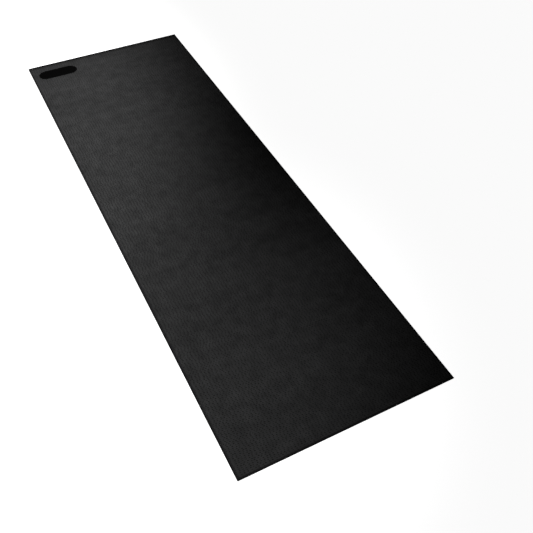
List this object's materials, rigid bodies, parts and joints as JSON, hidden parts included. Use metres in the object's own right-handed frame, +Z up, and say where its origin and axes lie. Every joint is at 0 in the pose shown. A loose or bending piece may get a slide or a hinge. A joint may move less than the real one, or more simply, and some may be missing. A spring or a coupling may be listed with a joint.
{
  "type": "non-slip grip mat",
  "caption": "Long thin rectangular grip mat with an embossed non-slip tread, laminated from skins, closed-cell foam and a reinforcing scrim, lying flat.",
  "frame": {"origin": "centre of the flat underside, on the surface that the mat lies on", "axes": "+X across the width, +Y along the length towards the marked end, +Z up out of the tread"},
  "size_m": [0.61, 1.88, 0.0047],
  "materials": {
    "tread": "satin-matte black embossed skin",
    "mark_ink": "flat solid black printed ink",
    "foam": "matte black closed-cell foam, cut edge",
    "scrim_yarn": "dark grey polyester yarn",
    "underside": "matte black fine-grained skin"
  },
  "bodies": {
    "root": {"tread_skin": "tread", "corner_mark": "mark_ink", "upper_foam_cushion": "foam", "reinforcing_scrim": "scrim_yarn", "lower_foam_cushion": "foam", "underside_grip_skin": "underside"}
  },
  "joints": []
}
